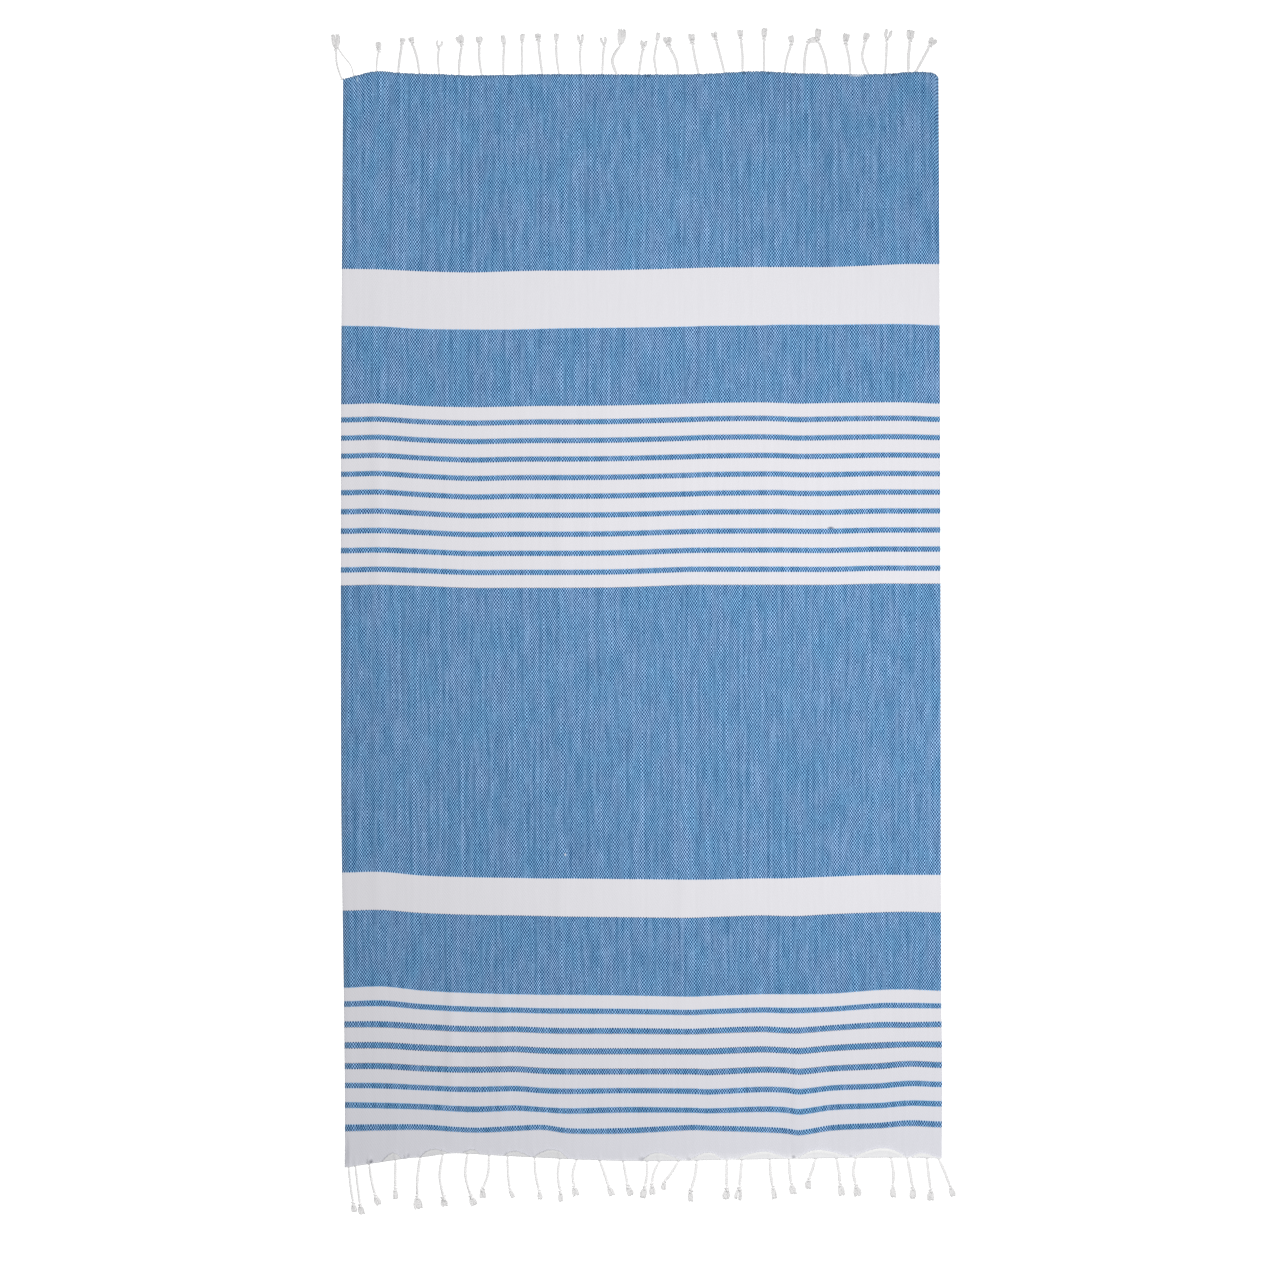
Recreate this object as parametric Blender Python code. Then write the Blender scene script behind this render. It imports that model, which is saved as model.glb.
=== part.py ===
"""A flat-woven hammam towel, laid out face up.

One length of cotton cloth with its stripes woven across it, and at each end a fringe of the cloth's
own warp, gathered into strands, twisted, knotted and left to fray.

X runs across the towel, Y runs along it towards the head end, and Z is up. The towel lies on z = 0,
and the origin is under the middle of its outline. The tables are in millimetres, the model in metres.
"""

from collections import namedtuple
from math import pi

import bmesh
import bpy

MM = 0.001

# The cloth
CLOTH_THICK = 1.5
COLUMN_PITCH = 26.0
COLUMN_LEAST = 3.0
ROW_PITCH = 75.0
GAP = 0.3

# The end hems, which the fringes' strips finish
STRIP_WIDE = 3.0
STRIP_THICK = 1.5
LIP_THICK = 1.6
LIP_FLAT_SHARE = 0.75
LIP_SLOPE = 3.0
LIP_COLUMNS = 6
HEM_DEEP = 24.0

# A strand's width at its root, along its cord, at its knot, behind the knot and at its frayed end
ROOT_WIDE = 2.8
CORD_WIDE = 3.4
KNOT_WIDE = 8.0
KNOT_LONG = 6.0
NECK_WIDE = 5.6
FRAY_WIDE = 8.4
CORD_STEPS = 5

Place = namedtuple("Place", "along value")
Lip = namedtuple("Lip", "start end deep")
Crease = namedtuple("Crease", "across start end half_wide high")
Strand = namedtuple("Strand", "root half knot tip reach tail")

# The outline: where each selvedge runs (value is x) at places along the towel (along is y) ...
LEFT_SELVEDGE = [Place(*row) for row in (
    (-905, -499),
    (-800, -499),
    (-600, -502),
    (-300, -506),
    (300, -506),
    (905, -503),
)]
RIGHT_SELVEDGE = [Place(*row) for row in (
    (-905, 497),
    (-600, 498),
    (0, 495),
    (905, 493),
)]

# ... and how far out each end reaches (value is y) at places across it (along is x).
HEAD_END = [Place(*row) for row in (
    (-503, 904),
    (-486, 909),
    (-448, 917),
    (-406, 914),
    (-339, 912),
    (-289, 910),
    (-172, 912),
    (78, 912),
    (195, 917),
    (254, 914),
    (362, 912),
    (412, 913),
    (454, 916),
    (479, 915),
    (488, 911),
    (493, 905),
)]
FOOT_END = [Place(*row) for row in (
    (-499, -912),
    (-459, -906),
    (-397, -897),
    (-371, -895),
    (-324, -889),
    (-259, -892),
    (-180, -896),
    (-94, -900),
    (-2, -902),
    (78, -901),
    (254, -898),
    (434, -896),
    (497, -898),
)]

# Where the foot hem has turned up between its gathers: from and to across, and how deep it is.
FOOT_LIPS = [Lip(*row) for row in (
    (-438, -400, 11),
    (-372, -338, 10),
    (-302, -270, 8),
    (-230, -193, 7),
    (-165, -125, 15),
    (0, 32, 11),
    (75, 108, 11),
    (158, 212, 20),
    (254, 344, 15),
    (347, 438, 17),
)]

# The low lengthwise creases left by folding.
CREASES = [Crease(*row) for row in (
    (-441, -700, 915, 14, 1.2),
    (-136, -880, 640, 18, 1.2),
    (68, -880, 300, 14, 1.0),
    (254, -895, -640, 16, 2.4),
)]

# The strands: x at the root, at half reach, at the knot and at the tip, then how far the knot
# reaches out from the hem, and how far the frayed tail goes on from there. No knot means a bare leg.
HEAD_STRANDS = [Strand(*row) for row in (
    (-503, -511, -512, -514, 54, 14),
    (-445, -444, -443, -443, 36, 13),
    (-409, -406, -402, -401, 48, 8),
    (-373, -377, -385, -386, 49, 8),
    (-340, -342, -341, -337, 45, 9),
    (-307, -306, -302, -306, 50, 15),
    (-269, -273, -273, -274, 53, 10),
    (-233, -233, -232, -234, 49, 17),
    (-202, -202, -204, -202, 53, 15),
    (-168, -172, -176, -176, 55, 14),
    (-140, -144, -145, -144, 53, 15),
    (-103, -105, -104, -104, 54, 15),
    (-68, -67, -66, -67, 51, 11),
    (-44, -51, -37, -35, 53, 20),
    (-7, -4, 0, 3, 46, 9),
    (23, 19, 22, 26, 53, 13),
    (59, 55, 44, 44, 50, 11),
    (93, 87, 83, 82, 53, 11),
    (136, 129, 123, 121, 57, 11),
    (166, 166, 164, 163, 55, 14),
    (202, 202, 202, 203, 56, 17),
    (236, 240, 249, 248, 48, 13),
    (269, 270, 276, 279, 55, 8),
    (308, 303, 294, 296, 57, 15),
    (346, 344, 338, 341, 51, 16),
    (376, 366, 369, 375, 54, 14),
    (404, 406, 408, 414, 56, 14),
    (443, 443, 448, 448, 53, 17),
    (455, 467, 481, 486, 45, 11),
)]
HEAD_BARE_LEGS = [Strand(*row) for row in (
    (-483, -488, -500, -506, 34, 9),
)]
FOOT_STRANDS = [Strand(*row) for row in (
    (-491, -488, -483, -482, 62, 13),
    (-480, -476, -472, -470, 68, 14),
    (-457, -453, -446, -443, 54, 13),
    (-413, -413, -413, -413, 49, 16),
    (-372, -376, -377, -375, 70, 17),
    (-334, -339, -333, -331, 73, 14),
    (-293, -296, -287, -282, 71, 13),
    (-257, -258, -267, -267, 57, 14),
    (-226, -225, -222, -218, 55, 14),
    (-181, -179, -173, -173, 55, 14),
    (-139, -142, -138, -138, 55, 16),
    (-111, -117, -115, -112, 45, 15),
    (-72, -64, -57, -52, 44, 14),
    (-33, -29, -25, -21, 41, 16),
    (7, 7, 4, 0, 43, 18),
    (27, 18, 15, 17, 39, 16),
    (59, 49, 37, 36, 35, 13),
    (90, 87, 81, 80, 51, 17),
    (140, 140, 140, 138, 48, 17),
    (165, 163, 161, 159, 47, 20),
    (212, 213, 217, 220, 46, 20),
    (244, 245, 248, 252, 42, 17),
    (288, 283, 277, 276, 34, 16),
    (323, 327, 329, 333, 43, 18),
    (355, 351, 356, 358, 46, 18),
    (414, 418, 417, 418, 47, 19),
    (441, 446, 450, 451, 50, 18),
    (474, 477, 480, 481, 53, 17),
    (494, 504, 513, 518, 46, 16),
)]


def curve_through(rows):
    """Return a smooth function of place that runs through the rows and stays level past their ends."""
    places = [row[0] for row in rows]
    values = [row[1] for row in rows]
    last = len(rows) - 1
    slopes = []
    for i in range(last + 1):
        before = max(i - 1, 0)
        after = min(i + 1, last)
        slopes.append((values[after] - values[before]) / (places[after] - places[before]))

    def value_at(place):
        place = min(max(place, places[0]), places[last])
        i = 0
        while i < last - 1 and place > places[i + 1]:
            i += 1
        span = places[i + 1] - places[i]
        t = (place - places[i]) / span
        ease = t * t * (3 - 2 * t)
        level = values[i] * (1 - ease) + values[i + 1] * ease
        lean = slopes[i] * t * (1 - t) ** 2 - slopes[i + 1] * t * t * (1 - t)
        return level + span * lean

    return value_at


left_at = curve_through(LEFT_SELVEDGE)
right_at = curve_through(RIGHT_SELVEDGE)
head_at = curve_through(HEAD_END)
foot_at = curve_through(FOOT_END)


def hump(distance, half_wide):
    """A soft hump, 1 at its middle and 0 from half_wide outwards."""
    t = min(abs(distance) / half_wide, 1.0)
    return (1 - t * t) ** 2


def rise_at(x, y):
    """How far the creases lift the cloth off the floor."""
    rise = 0.0
    for crease in CREASES:
        middle = (crease.start + crease.end) / 2
        fade = hump(y - middle, (crease.end - crease.start) / 2)
        rise = max(rise, crease.high * fade * hump(x - crease.across, crease.half_wide))
    return rise


def lip_depth(x):
    """How far inwards from the foot end a turned-up lip reaches."""
    for lip in FOOT_LIPS:
        middle = (lip.start + lip.end) / 2
        half = (lip.end - lip.start) / 2
        if abs(x - middle) < half:
            return lip.deep * (1 - ((x - middle) / half) ** 2)
    return 0.0


def lip_at(x, inwards):
    """How much a turned-up lip adds to the cloth, at a place so far inwards from the foot end."""
    deep = lip_depth(x)
    if deep <= max(inwards, 0.0):
        return 0.0
    slope = min((deep - inwards) / (deep * (1 - LIP_FLAT_SHARE)), 1.0)
    return LIP_THICK * min(deep / LIP_SLOPE, 1.0) * slope


def even_steps(start, end, pitch):
    """Places from start to end, both included, no further apart than pitch."""
    count = int((end - start) / pitch) + 1
    return [start + (end - start) * i / count for i in range(count + 1)]


def column_shares():
    """Shares across the cloth, 0 to 1, for the grid's columns: even, and closer at each crease and lip."""
    left = left_at(0)
    wide = right_at(0) - left
    marks = []
    for crease in CREASES:
        for side in (-1, -0.5, 0, 0.5, 1):
            marks.append(crease.across + side * crease.half_wide)
    for lip in FOOT_LIPS:
        for step in range(LIP_COLUMNS + 1):
            marks.append(lip.start + (lip.end - lip.start) * step / LIP_COLUMNS)
    columns = sorted(marks)
    for place in even_steps(left, left + wide, COLUMN_PITCH):
        if min(abs(place - mark) for mark in marks) > COLUMN_PITCH / 3:
            columns.append(place)
    columns = sorted(columns)
    kept = [columns[0]]
    for place in columns[1:]:
        if place - kept[-1] > COLUMN_LEAST:
            kept.append(place)
    kept[0] = left
    kept[-1] = left + wide
    return [(place - left) / wide for place in kept]


def hem_places(share_list, y):
    """The x of each column where it meets the end of the cloth near y."""
    return [left_at(y) + (right_at(y) - left_at(y)) * share for share in share_list]


def make_material(name, colour, roughness):
    """A plain woven-cotton material."""
    material = bpy.data.materials.new(name)
    material.use_nodes = True
    shader = material.node_tree.nodes["Principled BSDF"]
    shader.inputs["Base Color"].default_value = (*colour, 1.0)
    shader.inputs["Roughness"].default_value = roughness
    shader.inputs["Metallic"].default_value = 0.0
    return material


def add_object(name, mesh, collection, material=None):
    """Put a mesh in the scene under its node's name."""
    obj = bpy.data.objects.new(name, mesh)
    collection.objects.link(obj)
    if material is not None:
        mesh.materials.append(material)
    return obj


def new_grid(columns, rows):
    """A flat grid of so many columns and rows of points, and each point's column and row."""
    bm = bmesh.new()
    bmesh.ops.create_grid(bm, x_segments=columns - 1, y_segments=rows - 1, size=1.0)
    places = {}
    for vert in bm.verts:
        column = round((vert.co.x + 1) / 2 * (columns - 1))
        row = round((vert.co.y + 1) / 2 * (rows - 1))
        places[vert] = (column, row)
    return bm, places


def thicken(bm, thick_at):
    """Close a sheet into a solid: its copy goes straight up by thick_at of each point."""
    sheet = list(bm.faces)
    made = bmesh.ops.extrude_face_region(bm, geom=sheet)
    for item in made["geom"]:
        if isinstance(item, bmesh.types.BMVert):
            item.co.z += thick_at(item.co.x / MM, item.co.y / MM) * MM
    bmesh.ops.recalc_face_normals(bm, faces=list(bm.faces))


def finish_mesh(bm, name):
    """Write a bmesh to a new mesh and free it."""
    mesh = bpy.data.meshes.new(name)
    bm.to_mesh(mesh)
    bm.free()
    return mesh


def build_cloth(collection, material):
    """The woven body: one sheet inside its two hem lines, lifted a little along its creases."""
    columns = column_shares()
    inset = STRIP_WIDE + GAP
    head_x = hem_places(columns, head_at(0))
    foot_x = hem_places(columns, foot_at(0))
    body_rows = even_steps(0.0, 1.0, ROW_PITCH / (head_at(0) - foot_at(0)))
    hem_rows = 3

    bm, places = new_grid(len(columns), hem_rows + len(body_rows))
    for vert, (column, row) in places.items():
        low = foot_at(foot_x[column]) + inset
        high = head_at(head_x[column]) - inset
        if row < hem_rows:
            deep = max(lip_depth(foot_x[column]), LIP_SLOPE)
            y = low + (0.0, deep * LIP_FLAT_SHARE, deep)[row]
            x = foot_x[column]
        else:
            y = low + HEM_DEEP + (high - low - HEM_DEEP) * body_rows[row - hem_rows]
            x = left_at(y) + (right_at(y) - left_at(y)) * columns[column]
            if row == hem_rows + len(body_rows) - 1:
                x = head_x[column]
        vert.co = (x * MM, y * MM, rise_at(x, y) * MM)

    def thick_at(x, y):
        return CLOTH_THICK + lip_at(x, y - foot_at(x) - inset)

    thicken(bm, thick_at)
    return add_object("cloth", finish_mesh(bm, "cloth"), collection, material)


def build_strip(name, end_at, outwards, collection, material):
    """The narrow fell strip that a fringe's roots are fused to, along one end of the cloth."""
    across = hem_places(column_shares(), end_at(0))
    bm, places = new_grid(len(across), 2)
    for vert, (column, row) in places.items():
        y = end_at(across[column]) - outwards * STRIP_WIDE * row
        vert.co = (across[column] * MM, y * MM, 0.0)
    thicken(bm, lambda x, y: STRIP_THICK)
    return add_object(name, finish_mesh(bm, name), collection, material)


def strand_stations(strand, knotted):
    """Rows of (distance out from the hem, width) along one strand."""
    stations = [(-STRIP_WIDE / 2, ROOT_WIDE)]
    cord_end = strand.reach - KNOT_LONG / 2
    for step in range(1, CORD_STEPS):
        share = step / CORD_STEPS
        stations.append((cord_end * share, ROOT_WIDE + (CORD_WIDE - ROOT_WIDE) * share))
    stations.append((cord_end - 1, CORD_WIDE))
    if knotted:
        stations.append((cord_end + 1, KNOT_WIDE))
        stations.append((cord_end + KNOT_LONG - 1, KNOT_WIDE))
        stations.append((cord_end + KNOT_LONG + 1, NECK_WIDE))
        stations.append((strand.reach + strand.tail, FRAY_WIDE))
    else:
        stations.append((strand.reach + strand.tail, ROOT_WIDE))
    return stations


def build_strands(name, strands, bare_legs, end_at, outwards):
    """All the strands of one end as one mesh of four-sided tubes, pressed level on the floor."""
    curve = bpy.data.curves.new(name, "CURVE")
    curve.dimensions = "3D"
    curve.twist_mode = "Z_UP"
    curve.fill_mode = "FULL"
    curve.bevel_depth = MM
    curve.bevel_resolution = 0
    curve.use_fill_caps = True
    half_diagonal = 2 ** -0.5
    for strand in strands + bare_legs:
        stations = strand_stations(strand, strand in strands)
        x_at = curve_through((
            (0, strand.root),
            (strand.reach / 2, strand.half),
            (strand.reach, strand.knot),
            (strand.reach + strand.tail, strand.tip),
        ))
        spline = curve.splines.new("POLY")
        spline.points.add(len(stations) - 1)
        for point, (out, wide) in zip(spline.points, stations):
            y = end_at(strand.root) + outwards * out
            point.co = (x_at(out) * MM, y * MM, 0.0, 1.0)
            point.radius = wide * half_diagonal
            point.tilt = pi / 4
    guide = bpy.data.objects.new(name, curve)
    bpy.context.scene.collection.objects.link(guide)
    shaped = guide.evaluated_get(bpy.context.evaluated_depsgraph_get())
    mesh = bpy.data.meshes.new_from_object(shaped)
    bpy.data.objects.remove(guide)

    bm = bmesh.new()
    bm.from_mesh(mesh)
    bmesh.ops.remove_doubles(bm, verts=list(bm.verts), dist=0.00001)
    for vert in bm.verts:
        vert.co.z = 2 * max(vert.co.z, 0.0)
    bmesh.ops.recalc_face_normals(bm, faces=list(bm.faces))
    bm.to_mesh(mesh)
    bm.free()
    return mesh


def build_fringe(name, strands, bare_legs, end_at, outwards, parts, cutters, material):
    """One end's fringe: the strip with every strand's root fused into it."""
    strip = build_strip(name, end_at, outwards, parts, material)
    mesh = build_strands(name + "_strands", strands, bare_legs, end_at, outwards)
    guide = add_object(name + "_strands", mesh, cutters)
    guide.hide_render = True
    guide.display_type = "WIRE"
    join = strip.modifiers.new("roots", "BOOLEAN")
    join.operation = "UNION"
    join.solver = "EXACT"
    join.object = guide
    return strip


def build_towel():
    """The whole towel, in a collection of its own."""
    for obj in list(bpy.data.objects):
        bpy.data.objects.remove(obj)
    parts = bpy.data.collections.new("hammam_towel")
    cutters = bpy.data.collections.new("cutters")
    bpy.context.scene.collection.children.link(parts)
    bpy.context.scene.collection.children.link(cutters)
    blue_cotton = make_material("striped_cotton", (0.14, 0.28, 0.48), 0.9)
    pale_cotton = make_material("undyed_cotton", (0.80, 0.78, 0.74), 0.9)
    build_cloth(parts, blue_cotton)
    build_fringe("fringe_head", HEAD_STRANDS, HEAD_BARE_LEGS, head_at, 1, parts, cutters, pale_cotton)
    build_fringe("fringe_foot", FOOT_STRANDS, [], foot_at, -1, parts, cutters, pale_cotton)


build_towel()
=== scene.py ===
"""A flat-woven hammam towel, spread face up on a pale floor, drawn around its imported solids.

X runs across the towel, Y along it towards the head end, Z up, and it lies on z = 0. The tables and
the mesh code work in millimetres, and every mesh is scaled to metres as it is made.
"""

from collections import namedtuple
from math import atan, pi
from random import Random

import bpy
import numpy as np
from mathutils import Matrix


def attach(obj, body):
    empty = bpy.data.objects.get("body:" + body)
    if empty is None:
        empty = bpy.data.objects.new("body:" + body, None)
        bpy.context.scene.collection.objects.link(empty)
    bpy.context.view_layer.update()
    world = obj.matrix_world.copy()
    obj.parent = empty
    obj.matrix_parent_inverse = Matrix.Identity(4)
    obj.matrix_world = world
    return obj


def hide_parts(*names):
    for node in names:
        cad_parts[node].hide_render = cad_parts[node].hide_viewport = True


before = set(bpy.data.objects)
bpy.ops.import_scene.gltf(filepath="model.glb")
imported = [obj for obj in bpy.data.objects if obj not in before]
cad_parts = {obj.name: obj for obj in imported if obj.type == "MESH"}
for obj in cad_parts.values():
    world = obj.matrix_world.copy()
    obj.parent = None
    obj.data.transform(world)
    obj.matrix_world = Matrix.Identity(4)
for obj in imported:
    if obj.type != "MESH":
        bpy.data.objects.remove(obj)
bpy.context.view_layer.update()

# ---------------------------------------------------------------------------------- the woven cloth
# One length of cotton, woven flat on a wide loom: undyed warp along it, blue or undyed weft across
# it, and both ends bound by their own last picks. It lies flat, its woven lines a few millimetres
# out of true, with low creases from folding, and its foot hem has flipped up between its strands.

MM = 0.001
CLOTH_LONG = 1808.0
CLOTH_WIDE = 1000.0
HALF_THICK = 0.55
SELVEDGE_THIN = 0.35
DIAMOND_WIDE = 4.1
DIAMOND_LONG = 6.25
COLUMN_PITCH = 7.0
ROW_PITCH = 12.0
HEM_SPLIT = 5
HEM_DEEP = 30.0
HEAD_HEM_ROWS = (0, 0.5, 1.5, 3, 5, 8, 12, 17, 23, HEM_DEEP)
FOOT_HEM_ROWS = (HEM_DEEP, 23, 17, 12, 8, 5, 3, 1.5, 0)

Place = namedtuple("Place", "along value")
WovenLine = namedtuple("WovenLine", "along slips")
Crease = namedtuple("Crease", "across start end half_wide high")
Lip = namedtuple("Lip", "start end deep skew")
Pinch = namedtuple("Pinch", "across half_wide deep high")
Strand = namedtuple("Strand", "root half knot tip reach tail cord swell fray split")

# Where each selvedge runs (value is x at places along y), and each end (value is y at places along x).
LEFT_SELVEDGE = [Place(*row) for row in (
    (-905, -498),
    (-780, -498),
    (-600, -500),
    (-300, -504),
    (300, -504.5),
    (905, -501),
)]
RIGHT_SELVEDGE = [Place(*row) for row in (
    (-905, 499),
    (-720, 499.5),
    (-640, 498.3),
    (-300, 497.3),
    (0, 497),
    (500, 495.6),
    (905, 493.5),
)]
HEAD_END = [Place(*row) for row in (
    (-503, 904),
    (-486, 909),
    (-448, 917),
    (-406, 914),
    (-339, 912),
    (-289, 910),
    (-172, 912),
    (78, 912),
    (195, 917),
    (254, 914),
    (362, 912),
    (412, 913),
    (454, 916),
    (482, 915),
    (489, 914),
    (493, 911),
    (497, 906),
)]
FOOT_END = [Place(*row) for row in (
    (-499, -912),
    (-459, -906),
    (-397, -897),
    (-371, -895),
    (-324, -889),
    (-259, -892),
    (-180, -896),
    (-94, -900),
    (-2, -902),
    (78, -901),
    (254, -898),
    (434, -896),
    (497, -898),
)]

# How far some woven lines have slipped towards the foot, at these places across the cloth, measured
# in the photo to whole millimetres. A line is named by its distance along the cloth from the head
# end, taken as straight at y = STRAIGHT_HEAD.
STRAIGHT_HEAD = 912.0
SLIP_ACROSS = (
    -496, -439, -372, -289, -220, -172, -129, -38, 78, 105, 195, 232, 260, 312, 392, 440, 488,
)
WOVEN_LINES = [WovenLine(*row) for row in (
    (326, (-2, -1, 2, 4, 2, 1, 1, 0, -3, -4, -5, -5, -5, -5, -8, -10, -10)),
    (424, (-5, -4, 0, 1, 1, 0, -1, -2, -4, -5, -6, -7, -7, -7, -8, -8, -6)),
    (551, (-1, -2, 2, 4, 3, 2, 2, 1, -2, -3, -4, -3, -2, -3, -4, -4, -2)),
    (703, (-5, -6, -2, 2, 1, 1, 1, 0, -3, -4, -5, -5, -4, -4, -6, -6, -6)),
    (853, (-1, -2, 0, 3, 3, 3, 3, 2, -2, -2, -2, -2, -2, -2, -4, -4, -4)),
    (1339, (-7, -8, -2, 1, 2, 3, 3, 4, 5, 5, 3, 3, 2, 0, -3, -3, -3)),
    (1402, (-7, -8, -3, 0, 1, 2, 3, 4, 5, 4, 1, 2, 2, -1, -4, -5, -4)),
    (1534, (-10, -12, -5, -1, 1, 2, 2, 3, 5, 4, 1, 1, 1, 0, -6, -7, -5)),
    (1593, (-8, -8, -4, 0, 0, 2, 3, 3, 4, 3, 0, 2, 2, -2, -7, -7, -8)),
    (1659, (-3, -3, 1, 3, 2, 5, 6, 6, 6, 7, 3, 4, 6, 1, -3, -7, -5)),
    (1723, (-3, -2, 0, 4, 2, 5, 7, 5, 6, 7, 4, 5, 8, 1, -2, -6, -5)),
    (1756, (3, 2, 2, 7, 4, 2, 8, 8, 2, 3, 6, 8, 11, 3, -1, -5, -3)),
)]

# Low creases from folding: where each runs, half its width and its height.
CREASES = [Crease(*row) for row in (
    (-441, -900, 915, 18, 2.2),
    (-318, -920, -420, 17, 3.0),
    (-236, -920, -420, 17, 2.8),
    (-136, -920, 640, 18, 2.4),
    (68, -920, 300, 17, 2.4),
    (258, -950, -620, 15, 3.6),
    (437, -930, -500, 17, 2.4),
)]

# Where the foot hem has flipped up, how deep each lip is, and how much deeper towards its right.
FOOT_LIPS = [Lip(*row) for row in (
    (-436, -403, 12, 0.3),
    (-372, -322, 10, -0.4),
    (-302, -272, 7, 0.4),
    (-232, -186, 8, -0.5),
    (-184, -125, 14, 0.3),
    (-2, 66, 13, -0.5),
    (76, 130, 12, 0.5),
    (156, 236, 12, 0.2),
    (259, 346, 13, -0.5),
    (349, 438, 15, 0.3),
    (448, 493, 7, -0.4),
)]
HEM_ROLL = 2.6
FOLD_RADIUS = 1.0
FOLD_ROWS = 5
LIP_ROWS = 6
LIP_LIFT = 2.6
LIP_DEEPEST = 18.0
LIP_FRAYED = 4.0
LIP_SEED = 11

# Where an end is gathered so tight that it is pinched up: a place across, how far that reaches to
# each side and into the cloth, and how high it stands.
HEAD_PINCHES = [Pinch(*row) for row in (
    (9, 6, 9, 1.6),
    (170, 6, 9, 1.4),
    (212, 5, 9, 1.4),
    (254, 5, 9, 1.6),
    (421, 5, 9, 1.8),
)]
FOOT_PINCHES = [Pinch(*row) for row in (
    (-495, 4, 40, 2.4),
    (-457, 5, 12, 3.0),
    (-396, 4, 10, 2.6),
    (-3, 5, 12, 2.6),
    (77, 5, 12, 2.2),
    (252, 5, 12, 2.6),
    (348, 5, 12, 2.2),
    (441, 5, 12, 2.4),
)]

# The head end's raw edge: how deep it is toothed and frayed, how far out it starts, and the shares of
# that which its outermost rows of points take. The lips' raw edges are frayed as deep.
EDGE_TOOTH = 0.6
EDGE_JITTER = 0.7
EDGE_OUT = 1.2
EDGE_SHARES = (1.0, 0.75, 0.3)
EDGE_SEED = 5

# The strands of each end, which pucker the cloth at their roots: x at the root, at half reach, at the
# knot and at the tip, how far the knot reaches out from the hem and how far the frayed tail goes on
# from there, then half the cord's width, how fat its knot is, half the tail's width, and how far the
# tail is parted in two. The one bare leg has no knot: it is the first strand's second leg.
HEAD_STRANDS = [Strand(*row) for row in (
    (-503, -511, -512, -514, 52, 24, 2.6, 0.9, 6.8, 0.1),
    (-445, -444, -441, -443, 36, 13, 2.3, 1.0, 4.2, 0.0),
    (-409, -406, -402, -401, 50, 8, 3.4, 0.9, 4.2, 0.0),
    (-373, -377, -385, -387, 52, 9, 3.3, 0.9, 4.2, 0.0),
    (-340, -342, -341, -339, 45, 11, 2.7, 0.8, 5.5, 0.5),
    (-307, -306, -302, -309, 52, 14, 3.3, 0.9, 6.2, 0.1),
    (-269, -273, -273, -274, 53, 12, 3.2, 0.8, 5.2, 0.1),
    (-233, -233, -232, -234, 49, 17, 3.0, 0.7, 3.2, 0.0),
    (-202, -202, -202, -201, 54, 14, 2.6, 0.7, 3.4, 0.1),
    (-168, -172, -175, -176, 58, 10, 3.3, 1.1, 4.8, 0.0),
    (-140, -144, -145, -144, 54, 14, 3.0, 0.6, 3.4, 0.0),
    (-103, -105, -104, -105, 52, 15, 2.7, 0.9, 5.0, 0.3),
    (-68, -67, -65, -67, 50, 12, 3.0, 0.8, 4.8, 0.4),
    (-44, -51, -38, -35, 50, 27, 3.9, 0.6, 6.2, 0.0),
    (-7, -4, 0, 2, 45, 12, 3.2, 0.9, 5.4, 0.2),
    (23, 19, 23, 26, 55, 15, 3.0, 0.6, 2.8, 0.0),
    (59, 55, 42, 41, 50, 13, 3.4, 1.2, 6.5, 0.0),
    (93, 87, 82, 81, 53, 14, 3.3, 1.1, 4.8, 0.0),
    (136, 129, 121, 118, 57, 11, 3.3, 0.9, 4.5, 0.2),
    (166, 166, 163, 162, 57, 13, 3.2, 0.9, 4.5, 0.0),
    (202, 202, 202, 203, 55, 17, 3.2, 0.9, 4.5, 0.0),
    (236, 240, 248, 246, 48, 14, 3.0, 0.9, 4.2, 0.0),
    (269, 270, 275, 292, 53, 3, 3.8, 0.9, 4.5, 0.0),
    (308, 303, 292, 294, 57, 19, 3.5, 1.0, 4.5, 0.0),
    (346, 344, 338, 341, 52, 16, 3.2, 1.0, 5.2, 0.0),
    (376, 366, 371, 374, 56, 13, 3.3, 0.9, 4.5, 0.0),
    (404, 406, 407, 411, 58, 16, 3.0, 0.8, 5.9, 0.3),
    (443, 443, 446, 447, 53, 18, 3.9, 0.9, 6.2, 0.1),
    (455, 467, 479, 486, 44, 12, 3.5, 1.0, 6.1, 0.1),
)]
HEAD_BARE_LEGS = [Strand(*row) for row in (
    (-483, -488, -502, -511, 36, 14, 1.6, 1.0, 4.2, 0.0),
)]
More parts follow.
